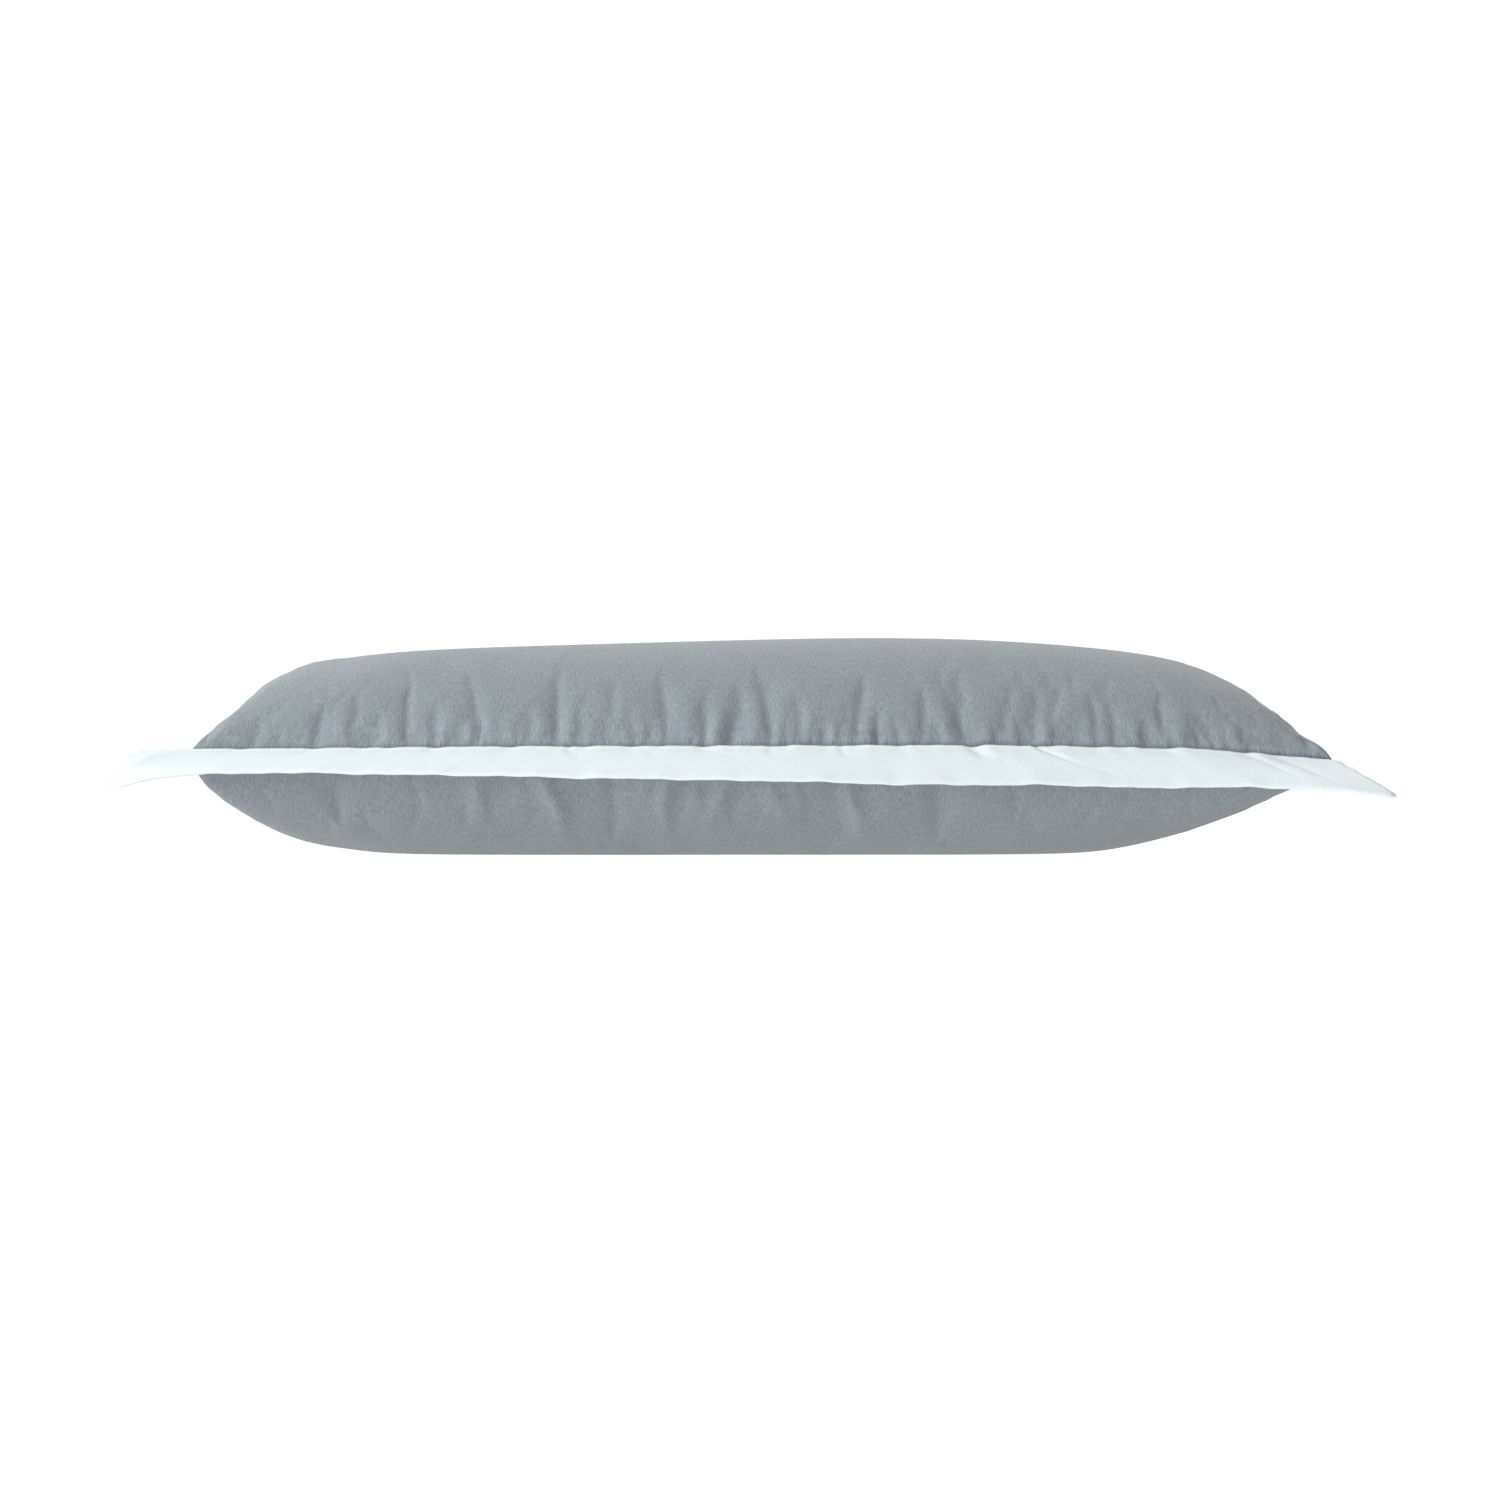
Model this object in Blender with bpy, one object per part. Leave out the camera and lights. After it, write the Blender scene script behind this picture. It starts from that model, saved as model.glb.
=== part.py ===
"""Oblong filled cushion with a flat double flange sewn round its seam, lying on its back.

Metres, +Z up. +X runs along the length, -Y is the front long side, and the origin is on the floor
under the middle. The two filled panels are one solid. The flange is four strips that meet at mitres.
"""

import math
from collections import namedtuple
from functools import partial

import bmesh
import bpy
from mathutils import Vector

# Filled body, between its four corners on the seam
BODY_LENGTH = 0.520
BODY_DEPTH = 0.268
DRAW_LONG = 0.009        # each long side is drawn in by this at its middle
DRAW_SHORT = 0.011       # and each short side by this
DRAW_LONG_POWER = 4.0    # a higher power keeps the draw-in nearer to the corners
DRAW_SHORT_POWER = 4.5

# Flange: cloth folded double, with the fold at its free edge
FLANGE_WIDTH = 0.038
FLANGE_THICK = 0.0022
GAP = 0.0003             # between pieces that are sewn to each other

# Fineness of the faceted solids, and how far their lines crowd towards the ends or the seams
PANEL_COLUMNS = 96
PANEL_ROWS = 18
LONG_COLUMNS = 72
SHORT_COLUMNS = 36
STRIP_ROWS = 3
CROWD_COLUMNS = 0.25
CROWD_ROWS = 1.0
SHARP_EDGE = math.radians(50)

# The front side from left to right: seam height, and how far the flange's free edge hangs below it
Station = namedtuple("Station", "x seam drop")
FRONT_SIDE = (
    Station(-0.260, 0.0478, 0.0074),
    Station(-0.190, 0.0484, 0.0088),
    Station(-0.116, 0.0491, 0.0106),
    Station(-0.028, 0.0494, 0.0128),
    Station(0.048, 0.0497, 0.0149),
    Station(0.106, 0.0497, 0.0157),
    Station(0.164, 0.0488, 0.0156),
    Station(0.195, 0.0482, 0.0152),
    Station(0.228, 0.0456, 0.0134),
    Station(0.260, 0.0429, 0.0130),
)
BACK_SIDE = (
    Station(-0.260, 0.0460, 0.0090),
    Station(-0.120, 0.0490, 0.0115),
    Station(0.060, 0.0496, 0.0100),
    Station(0.190, 0.0482, 0.0120),
    Station(0.260, 0.0445, 0.0105),
)

# The short sides, from front to back: x is the place along the depth here
LEFT_SIDE = (
    Station(-0.134, 0.0478, 0.0035),
    Station(-0.060, 0.0485, 0.0008),
    Station(0.040, 0.0487, 0.0020),
    Station(0.134, 0.0460, 0.0070),
)
RIGHT_SIDE = (
    Station(-0.134, 0.0429, 0.0150),
    Station(-0.055, 0.0460, 0.0140),
    Station(0.000, 0.0468, 0.0095),
    Station(0.060, 0.0470, 0.0070),
    Station(0.134, 0.0445, 0.0080),
)

# Tip of each mitre, measured from the body's corner; curl is the power with which it bends down
Corner = namedtuple("Corner", "reach_x reach_y drop curl")
FRONT_LEFT = Corner(0.0335, 0.0370, 0.0190, 3.0)
FRONT_RIGHT = Corner(0.0215, 0.0430, 0.0145, 1.1)
BACK_LEFT = Corner(0.0310, 0.0425, 0.0120, 1.5)
BACK_RIGHT = Corner(0.0335, 0.0390, 0.0130, 1.8)
STRIP_CURL = 1.25        # the same power away from the corners
CORNER_GRIP_LONG = 15    # how closely a tip's own bend keeps to the end of a strip
CORNER_GRIP_SHORT = 10
REACH_GRIP = 4           # and how closely its own reach does

# A corner as one strip sees it: reach along the strip, and out of the body
End = namedtuple("End", "reach_along reach_out drop curl")

# Profile of the filling in each panel. The crown is its rise over the seam, before the floor
# flattens the lower one. The powers shape the ends, and blend sets how full the corners are.
Profile = namedtuple("Profile", "side crown end_power round_left round_right blend_left blend_right")
UPPER = Profile(1, 0.0462, 7.5, 0.43, 0.81, 0.5, 3.0)
LOWER = Profile(-1, 0.0548, 4.6, 0.40, 0.84, 3.0, 1.5)
SIDE_POWER = 2.4
SIDE_ROUND = 0.80

# Soft swells of the filling: centre, reach and height
Swell = namedtuple("Swell", "x y reach height")
SWELLS = (
    Swell(0.060, -0.010, 0.090, 0.0022),
    Swell(-0.130, 0.030, 0.070, -0.0012),
    Swell(0.185, 0.020, 0.060, -0.0015),
)

# Gathers along the front seam. A dip has a depth below zero. They start at the seam, are as long
# as stated, and lean to the right where lean is over zero.
Gather = namedtuple("Gather", "x width depth length lean")
UPPER_GATHERS = (
    Gather(-0.152, 0.0050, -0.0016, 0.030, 0.1),
    Gather(-0.123, 0.0050, -0.0014, 0.026, 0.0),
    Gather(-0.094, 0.0055, -0.0020, 0.032, 0.2),
    Gather(-0.060, 0.0050, 0.0012, 0.024, 0.0),
    Gather(-0.038, 0.0075, 0.0018, 0.036, -0.1),
    Gather(-0.015, 0.0065, -0.0024, 0.036, -0.2),
    Gather(0.007, 0.0055, -0.0030, 0.044, 0.1),
    Gather(0.044, 0.0050, -0.0028, 0.036, 0.2),
    Gather(0.070, 0.0050, -0.0016, 0.028, 0.1),
    Gather(0.091, 0.0055, -0.0030, 0.046, 0.4),
    Gather(0.107, 0.0050, -0.0018, 0.028, 0.2),
    Gather(0.127, 0.0095, 0.0020, 0.036, 0.1),
    Gather(0.150, 0.0055, -0.0020, 0.030, 0.2),
    Gather(0.185, 0.0055, -0.0014, 0.026, 0.2),
    Gather(0.219, 0.0055, -0.0014, 0.020, 0.2),
)
LOWER_GATHERS = (
    Gather(-0.122, 0.0055, -0.0020, 0.030, 0.0),
    Gather(-0.100, 0.0070, 0.0014, 0.026, 0.1),
    Gather(-0.087, 0.0055, -0.0022, 0.034, 0.1),
    Gather(-0.053, 0.0060, 0.0014, 0.028, 0.0),
    Gather(-0.037, 0.0055, -0.0020, 0.032, 0.1),
    Gather(-0.010, 0.0055, -0.0018, 0.030, -0.1),
    Gather(0.004, 0.0050, -0.0020, 0.034, 0.0),
    Gather(0.032, 0.0050, -0.0018, 0.028, 0.1),
    Gather(0.044, 0.0070, 0.0016, 0.030, 0.0),
    Gather(0.080, 0.0055, -0.0022, 0.036, 0.3),
    Gather(0.200, 0.0050, -0.0014, 0.020, 0.0),
)

# Plain gathers on the sides that don't show, as an uneven repeat
BACK_PITCH = 0.031
SHORT_PITCH = 0.026
PITCH_DRIFT = 0.050      # the gathers spread and close up over about six times this length
PLAIN_DEPTH = 0.0022
PLAIN_LENGTH = 0.032
GATHERS_START = 0.25     # share of the crown at which a gather has its full depth
CORNER_CALM = 8          # power that keeps gathers off the corners

# Waves in the front strip, slanted from the seam to the free edge
Wave = namedtuple("Wave", "x width height lean")
FRONT_WAVES = (
    Wave(-0.188, 0.016, 0.0007, 0.15),
    Wave(-0.080, 0.014, -0.0006, 0.25),
    Wave(0.008, 0.012, 0.0007, 0.20),
    Wave(0.050, 0.010, -0.0007, 0.15),
    Wave(0.100, 0.010, 0.0010, 0.50),
    Wave(0.135, 0.010, -0.0008, 0.60),
    Wave(0.182, 0.010, 0.0008, 0.50),
    Wave(0.220, 0.010, 0.0008, 0.40),
)
PLAIN_WAVE = 0.0006
PLAIN_WAVE_PITCH = 0.085
WAVE_CALM = 12           # power that keeps waves off the mitres


def clear_scene():
    """Remove whatever objects the scene has."""
    for obj in list(bpy.data.objects):
        bpy.data.objects.remove(obj, do_unlink=True)


def mix(a, b, share):
    """The value a share of the way from a to b."""
    return a + (b - a) * share


def along(stations, x, field):
    """Read one column of a side's table at x, on a smooth curve through its rows."""
    last = len(stations) - 1
    x = min(max(x, stations[0].x), stations[last].x)
    row = max(i for i in range(last) if stations[i].x <= x)
    values = [getattr(stations[min(max(row + k, 0), last)], field) for k in (-1, 0, 1, 2)]
    places = [stations[min(max(row + k, 0), last)].x for k in (-1, 0, 1, 2)]
    step = places[2] - places[1]
    share = (x - places[1]) / step
    slope_in = (values[2] - values[0]) / (places[2] - places[0]) * step
    slope_out = (values[3] - values[1]) / (places[3] - places[1]) * step
    rise = values[2] - values[1]
    bend_in = slope_in - rise
    bend_out = rise - slope_out
    return mix(values[1], values[2], share) + share * (1 - share) * mix(bend_in, bend_out, share)


def plan(u, v):
    """Place in plan of the share u of the half length and the share v of the half depth."""
    half_x = BODY_LENGTH / 2 - DRAW_SHORT * (1 - abs(v) ** DRAW_SHORT_POWER)
    half_y = BODY_DEPTH / 2 - DRAW_LONG * (1 - abs(u) ** DRAW_LONG_POWER)
    return u * half_x, v * half_y


def seam_level(u, v):
    """Height of the seam round the outline, and of a smooth sheet that spans it inside."""
    x = u * BODY_LENGTH / 2
    y = v * BODY_DEPTH / 2
    across = (v + 1) / 2
    lengthwise = (u + 1) / 2
    from_long = mix(along(FRONT_SIDE, x, "seam"), along(BACK_SIDE, x, "seam"), across)
    from_short = mix(along(LEFT_SIDE, y, "seam"), along(RIGHT_SIDE, y, "seam"), lengthwise)
    front_corners = mix(FRONT_SIDE[0].seam, FRONT_SIDE[-1].seam, lengthwise)
    back_corners = mix(BACK_SIDE[0].seam, BACK_SIDE[-1].seam, lengthwise)
    return from_long + from_short - mix(front_corners, back_corners, across)


def fullness(u, v, profile):
    """Share of the full crown at a place: 0 on the seam, 1 in the middle."""
    end_round = mix(profile.round_left, profile.round_right, (u + 1) / 2)
    blend = mix(profile.blend_left, profile.blend_right, (u + 1) / 2)
    lengthwise = (1 - abs(u) ** profile.end_power) ** end_round
    crosswise = (1 - abs(v) ** SIDE_POWER) ** SIDE_ROUND
    if min(lengthwise, crosswise) <= 0:
        return 0.0
    total = lengthwise ** -blend + crosswise ** -blend - 1
    return total ** (-1 / blend)


def swell(x, y):
    """Extra height of the filling at a place in plan."""
    return sum(s.height * math.exp(-((x - s.x) ** 2 + (y - s.y) ** 2) / s.reach ** 2) for s in SWELLS)


def fade(distance, length):
    """Strength of a gather at a distance from its seam: nearly full at the seam, none past its length."""
    if distance >= length:
        return 0.0
    return math.cos(math.pi / 2 * distance / length) ** 2


def gather_depth(u, v, gathers):
    """How far the gathers push a panel out at a place, along its normal."""
    x, y = plan(u, v)
    from_front = (1 + v) * BODY_DEPTH / 2
    from_back = (1 - v) * BODY_DEPTH / 2
    from_end = (1 - abs(u)) * BODY_LENGTH / 2
    depth = 0.0
    for g in gathers:
        offset = (x - g.x - g.lean * from_front) / g.width
        depth += g.depth * math.exp(-offset ** 2) * fade(from_front, g.length)
    back = max(0.0, math.sin(math.tau * x / BACK_PITCH + 2 * math.sin(x / PITCH_DRIFT))) ** 2
    ends = max(0.0, math.sin(math.tau * y / SHORT_PITCH + u + math.sin(y / PITCH_DRIFT))) ** 2
    depth -= PLAIN_DEPTH * back * fade(from_back, PLAIN_LENGTH) * (1 - u ** CORNER_CALM)
    depth -= PLAIN_DEPTH * ends * fade(from_end, PLAIN_LENGTH) * (1 - v ** CORNER_CALM)
    return depth


def panel_point(u, v, profile, gathers):
    """A point of a panel, pushed out or in where the cloth gathers."""
    full = fullness(u, v, profile)
    x, y = plan(u, v)
    z = seam_level(u, v) + profile.side * (FLANGE_THICK / 2 + profile.crown * full)
    if profile is UPPER:
        z += swell(x, y) * full
    push = gather_depth(u, v, gathers) * min(1.0, full / GATHERS_START)
    lean = v * (1 - full)
    return Vector((x, y + push * lean, max(z + profile.side * push * (1 - abs(lean) / 2), 0.0)))


def spread(count, crowding):
    """Shares from -1 to 1 in count steps. With crowding 1 they crowd towards both ends."""
    even = [2 * i / count - 1 for i in range(count + 1)]
    return [mix(share, math.sin(math.pi / 2 * share), crowding) for share in even]


def add_grid(mesh, points):
    """Add a grid of points and the faces between them, and return its vertices."""
    verts = [[mesh.verts.new(p) for p in line] for line in points]
    for a, b in zip(verts, verts[1:]):
        for j in range(len(a) - 1):
            mesh.faces.new((a[j], b[j], b[j + 1], a[j + 1]))
    return verts


def grid_border(verts):
    """The vertices round a grid, in order."""
    first = [line[0] for line in verts]
    last = [line[-1] for line in verts]
    return first + verts[-1][1:] + last[-2::-1] + verts[0][-2:0:-1]


def close_between(mesh, upper, lower):
    """Join the borders of two grids by a wall of quads."""
    top = grid_border(upper)
    bottom = grid_border(lower)
    for i, corner in enumerate(top):
        j = (i + 1) % len(top)
        mesh.faces.new((corner, bottom[i], bottom[j], top[j]))


def add_object(name, mesh, material):
    """Turn a closed bmesh into a named object with one material."""
    bmesh.ops.recalc_face_normals(mesh, faces=mesh.faces)
    data = bpy.data.meshes.new(name)
    mesh.to_mesh(data)
    mesh.free()
    data.materials.append(material)
    data.shade_smooth()
    data.set_sharp_from_angle(angle=SHARP_EDGE)
    obj = bpy.data.objects.new(name, data)
    bpy.context.collection.objects.link(obj)
    return obj


def cloth(name, colour, roughness):
    """A plain cloth material."""
    material = bpy.data.materials.new(name)
    material.use_nodes = True
    shader = material.node_tree.nodes["Principled BSDF"]
    shader.inputs["Base Color"].default_value = (*colour, 1.0)
    shader.inputs["Roughness"].default_value = roughness
    shader.inputs["Metallic"].default_value = 0.0
    return material


def build_cushion(material):
    """The filled body: two panels and the thick seam between them."""
    mesh = bmesh.new()
    columns = spread(PANEL_COLUMNS, CROWD_COLUMNS)
    rows = spread(PANEL_ROWS, CROWD_ROWS)
    upper = add_grid(mesh, [[panel_point(u, v, UPPER, UPPER_GATHERS) for v in rows] for u in columns])
    lower = add_grid(mesh, [[panel_point(u, v, LOWER, LOWER_GATHERS) for v in rows] for u in columns])
    close_between(mesh, upper, lower)
    add_object("cushion", mesh, material)


def front_wave(s, t):
    """Rise of the waves in the front strip."""
    x = s * BODY_LENGTH / 2
    rise = 0.0
    for w in FRONT_WAVES:
        offset = (x - w.x - w.lean * t * FLANGE_WIDTH) / w.width
        rise += w.height * math.exp(-offset ** 2)
    return rise * t * (1 - s ** WAVE_CALM)


def plain_wave(s, t, half_length):
    """Rise of the even waves in the other strips."""
    turn = math.sin(math.tau * s * half_length / PLAIN_WAVE_PITCH)
    return PLAIN_WAVE * turn * t * (1 - s ** WAVE_CALM)


def strip_line(stations, ends, grip, s, t):
    """Reach along, reach out and height of a strip at share s of its half length and t of its width."""
    end = ends[0] if s < 0 else ends[1]
    place = s * stations[-1].x
    hold = abs(s) ** grip
    drop = along(stations, place, "drop")
    reach = math.sqrt(FLANGE_WIDTH ** 2 - drop ** 2)
    reach_out = mix(reach, end.reach_out, abs(s) ** REACH_GRIP) * t + GAP
    curl = mix(STRIP_CURL, end.curl, hold)
    height = along(stations, place, "seam") - mix(drop, end.drop, hold) * t ** curl
    return s * end.reach_along * t, reach_out, height


def long_end(corner):
    """A corner as a long strip sees it."""
    return End(corner.reach_x, corner.reach_y, corner.drop, corner.curl)


def short_end(corner):
    """A corner as a short strip sees it."""
    return End(corner.reach_y, corner.reach_x, corner.drop, corner.curl)


def long_strip_point(side, stations, ends, s, t):
    """Middle of the front strip (side -1) or the back strip (side 1)."""
    x, y = plan(s, side)
    reach_along, reach_out, height = strip_line(stations, ends, CORNER_GRIP_LONG, s, t)
    wave = front_wave(s, t) if side < 0 else plain_wave(s, t, BODY_LENGTH / 2)
    return Vector((x + reach_along, y + side * reach_out, height + wave))


def short_strip_point(side, stations, ends, s, t):
    """Middle of the left strip (side -1) or the right strip (side 1)."""
    x, y = plan(side, s)
    reach_along, reach_out, height = strip_line(stations, ends, CORNER_GRIP_SHORT, s, t)
    return Vector((x + side * reach_out, y + reach_along, height + plain_wave(s, t, BODY_DEPTH / 2)))


def half_thickness(line):
    """Half the upright thickness along a line across the strip, more where the cloth is steep."""
    slopes = [abs(b.z - a.z) / math.hypot(b.x - a.x, b.y - a.y) for a, b in zip(line, line[1:])]
    at_points = [slopes[0]] + [(a + b) / 2 for a, b in zip(slopes, slopes[1:])] + [slopes[-1]]
    return [Vector((0, 0, FLANGE_THICK / 2 * math.hypot(1, slope))) for slope in at_points]


def build_strip(name, point, columns, material):
    """A strip of the flange, as a closed sheet of even thickness."""
    mesh = bmesh.new()
    across = [j / STRIP_ROWS for j in range(STRIP_ROWS + 1)]
    middle = [[point(s, t) for t in across] for s in spread(columns, CROWD_COLUMNS)]
    halves = [half_thickness(line) for line in middle]
    upper = [[p + h for p, h in zip(*lines)] for lines in zip(middle, halves)]
    lower = [[p - h for p, h in zip(*lines)] for lines in zip(middle, halves)]
    close_between(mesh, add_grid(mesh, upper), add_grid(mesh, lower))
    add_object(name, mesh, material)


def build_flange(material):
    """The four strips, mitred at the corners."""
    front = (long_end(FRONT_LEFT), long_end(FRONT_RIGHT))
    back = (long_end(BACK_LEFT), long_end(BACK_RIGHT))
    left = (short_end(FRONT_LEFT), short_end(BACK_LEFT))
    right = (short_end(FRONT_RIGHT), short_end(BACK_RIGHT))
    strips = (
        ("flange_front", long_strip_point, -1, FRONT_SIDE, front, LONG_COLUMNS),
        ("flange_back", long_strip_point, 1, BACK_SIDE, back, LONG_COLUMNS),
        ("flange_left", short_strip_point, -1, LEFT_SIDE, left, SHORT_COLUMNS),
        ("flange_right", short_strip_point, 1, RIGHT_SIDE, right, SHORT_COLUMNS),
    )
    for name, point, side, stations, ends, columns in strips:
        build_strip(name, partial(point, side, stations, ends), columns, material)


clear_scene()
build_cushion(cloth("cushion_cloth", (0.30, 0.34, 0.38), 0.95))
build_flange(cloth("flange_cloth", (0.86, 0.88, 0.90), 0.90))
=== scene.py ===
"""Looks of an oblong filled cushion with a flat double flange round its seam.

Metres, in the frame's own axes: +X along the length, -Y the side that the camera sees, +Z up.
The two panels start as a smooth filled form with gathers listed along the long seams. A short
cloth simulation moves them a little from there, and fine folds are pressed in after it. The flange is
four mitred sheets whose waves and creases are listed one by one.
"""

import math
from collections import namedtuple

import bmesh
import bpy
import numpy as np
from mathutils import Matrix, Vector, noise


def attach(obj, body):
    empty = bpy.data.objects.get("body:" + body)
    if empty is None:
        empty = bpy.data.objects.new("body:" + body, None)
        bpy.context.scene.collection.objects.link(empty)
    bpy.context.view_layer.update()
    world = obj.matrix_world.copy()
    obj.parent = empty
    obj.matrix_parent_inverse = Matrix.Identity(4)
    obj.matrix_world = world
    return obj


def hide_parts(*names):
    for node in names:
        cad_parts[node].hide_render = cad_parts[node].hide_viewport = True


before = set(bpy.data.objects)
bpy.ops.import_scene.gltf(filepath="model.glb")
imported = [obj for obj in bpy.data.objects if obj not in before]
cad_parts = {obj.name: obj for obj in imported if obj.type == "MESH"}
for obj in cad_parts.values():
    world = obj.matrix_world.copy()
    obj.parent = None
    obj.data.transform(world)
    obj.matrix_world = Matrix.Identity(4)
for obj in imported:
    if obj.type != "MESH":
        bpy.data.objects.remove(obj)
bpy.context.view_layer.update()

# Filled body, between its four corners on the seam
BODY_LENGTH = 0.520
BODY_DEPTH = 0.268
DRAW_LONG = 0.009
DRAW_SHORT = 0.011
DRAW_LONG_POWER = 4.0
DRAW_SHORT_POWER = 4.5

# Each panel as it is cut, inside the seam
CUT_LENGTH = 0.533
CUT_DEPTH = 0.279
BELOW_SHIFT = (1.0, 0.5)   # where the lower panel's cut lies from the upper's

# Flange: cloth folded double, with the fold at its free edge
FLANGE_WIDTH = 0.038
FLANGE_THICK = 0.0022
GAP = 0.0003
FLANGE_LONG = 0.610      # its cut from mitre tip to mitre tip
FLANGE_SHORT = 0.356

# The front side from left to right: seam height, and how far the flange's free edge hangs below it
Station = namedtuple("Station", "x seam drop")
FRONT_SIDE = (
    Station(-0.260, 0.0478, 0.0074),
    Station(-0.190, 0.0484, 0.0088),
    Station(-0.116, 0.0491, 0.0106),
    Station(-0.028, 0.0494, 0.0128),
    Station(0.048, 0.0497, 0.0149),
    Station(0.106, 0.0497, 0.0157),
    Station(0.164, 0.0488, 0.0156),
    Station(0.195, 0.0482, 0.0152),
    Station(0.228, 0.0456, 0.0134),
    Station(0.260, 0.0429, 0.0130),
)
BACK_SIDE = (
    Station(-0.260, 0.0460, 0.0090),
    Station(-0.120, 0.0490, 0.0115),
    Station(0.060, 0.0496, 0.0100),
    Station(0.190, 0.0482, 0.0120),
    Station(0.260, 0.0445, 0.0105),
)
LEFT_SIDE = (
    Station(-0.134, 0.0478, 0.0035),
    Station(-0.060, 0.0485, 0.0008),
    Station(0.040, 0.0487, 0.0020),
    Station(0.134, 0.0460, 0.0070),
)
RIGHT_SIDE = (
    Station(-0.134, 0.0429, 0.0150),
    Station(-0.055, 0.0460, 0.0140),
    Station(0.000, 0.0468, 0.0095),
    Station(0.060, 0.0470, 0.0070),
    Station(0.134, 0.0445, 0.0080),
)

# Tip of each mitre, measured from the body's corner; curl is the power with which it bends down
Corner = namedtuple("Corner", "reach_x reach_y drop curl")
FRONT_LEFT = Corner(0.0335, 0.0370, 0.0190, 3.0)
FRONT_RIGHT = Corner(0.0215, 0.0430, 0.0145, 1.1)
BACK_LEFT = Corner(0.0310, 0.0425, 0.0092, 1.5)
BACK_RIGHT = Corner(0.0335, 0.0390, 0.0130, 1.8)
STRIP_CURL = 1.25
CORNER_GRIP_LONG = 15
CORNER_GRIP_SHORT = 10
REACH_GRIP = 4
End = namedtuple("End", "reach_along reach_out drop curl")

# Profile of the filling in each panel, as it starts
Profile = namedtuple("Profile", "side crown end_power round_left round_right blend_left blend_right")
UPPER = Profile(1, 0.0462, 7.5, 0.43, 0.81, 0.5, 3.0)
LOWER = Profile(-1, 0.0548, 4.6, 0.40, 0.84, 3.0, 1.5)
SIDE_POWER = 2.4
SIDE_ROUND = 0.80

# Soft swells of the filling: centre, reach and height
Swell = namedtuple("Swell", "x y reach height")
SWELLS = (
    Swell(0.060, -0.010, 0.090, 0.0022),
    Swell(-0.130, 0.030, 0.070, -0.0012),
    Swell(0.185, 0.020, 0.060, -0.0015),
)

# Gathers along the long seams of each panel, as the front seam has them. A dip has a
# depth below zero. Each runs up to its reach from the seam, and moves to the right by its lean for each
# metre away from the seam.
Gather = namedtuple("Gather", "x width depth reach lean")
UPPER_GATHERS = (
    Gather(-0.2300, 0.0060, -0.0008, 0.030, 0.0),
    Gather(-0.2020, 0.0060, -0.0009, 0.032, 0.0),
    Gather(-0.1900, 0.0070, 0.0010, 0.040, 0.0),
    Gather(-0.1611, 0.0045, -0.0016, 0.040, 0.0),
    Gather(-0.1489, 0.0032, -0.0011, 0.034, 0.0),
    Gather(-0.1254, 0.0040, -0.0015, 0.036, -0.2),
    Gather(-0.0929, 0.0042, -0.0022, 0.046, 0.0),
    Gather(-0.0839, 0.0020, -0.0009, 0.018, 0.0),
    Gather(-0.0602, 0.0022, 0.0012, 0.022, -0.1),
    Gather(-0.0433, 0.0045, -0.0020, 0.048, 0.0),
    Gather(-0.0262, 0.0028, -0.0016, 0.034, 0.1),
    Gather(-0.0100, 0.0070, -0.0016, 0.050, 0.0),
    Gather(0.0050, 0.0030, -0.0032, 0.056, -0.1),
    Gather(0.0127, 0.0020, 0.0009, 0.022, 0.0),
    Gather(0.0163, 0.0024, -0.0012, 0.028, 0.1),
    Gather(0.0424, 0.0032, -0.0030, 0.046, 0.1),
    Gather(0.0688, 0.0020, 0.0012, 0.024, 0.1),
    Gather(0.0718, 0.0024, -0.0018, 0.044, 0.1),
    Gather(0.0930, 0.0042, -0.0030, 0.056, -0.2),
    Gather(0.0993, 0.0022, -0.0015, 0.022, 0.0),
    Gather(0.1088, 0.0045, -0.0017, 0.036, 0.1),
    Gather(0.1227, 0.0065, -0.0022, 0.050, 0.1),
    Gather(0.1521, 0.0030, -0.0015, 0.038, 0.0),
    Gather(0.1598, 0.0038, -0.0010, 0.034, 0.0),
    Gather(0.1814, 0.0034, -0.0014, 0.036, 0.0),
    Gather(0.2076, 0.0024, -0.0008, 0.018, 0.0),
    Gather(0.2134, 0.0024, -0.0010, 0.014, 0.0),
    Gather(0.2215, 0.0026, -0.0010, 0.014, 0.0),
)
LOWER_GATHERS = (
    Gather(-0.1950, 0.0070, -0.0008, 0.040, 0.0),
    Gather(-0.1290, 0.0050, 0.0014, 0.040, 0.0),
    Gather(-0.1035, 0.0050, 0.0024, 0.050, 0.3),
    Gather(-0.0705, 0.0020, -0.0016, 0.034, 0.1),
    Gather(-0.0537, 0.0030, 0.0011, 0.036, 0.0),
    Gather(-0.0415, 0.0040, 0.0018, 0.050, -0.1),
    Gather(-0.0250, 0.0036, 0.0010, 0.050, -0.2),
    Gather(-0.0110, 0.0040, 0.0014, 0.056, -0.3),
    Gather(-0.0020, 0.0040, 0.0012, 0.056, 0.3),
    Gather(0.0080, 0.0036, 0.0010, 0.046, 0.3),
    Gather(0.0310, 0.0032, -0.0019, 0.034, 0.1),
    Gather(0.0350, 0.0040, 0.0014, 0.056, 0.2),
    Gather(0.0780, 0.0055, -0.0014, 0.046, 0.1),
    Gather(0.2000, 0.0020, -0.0008, 0.026, 0.0),
    Gather(0.2170, 0.0020, -0.0008, 0.024, 0.0),
)
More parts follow.
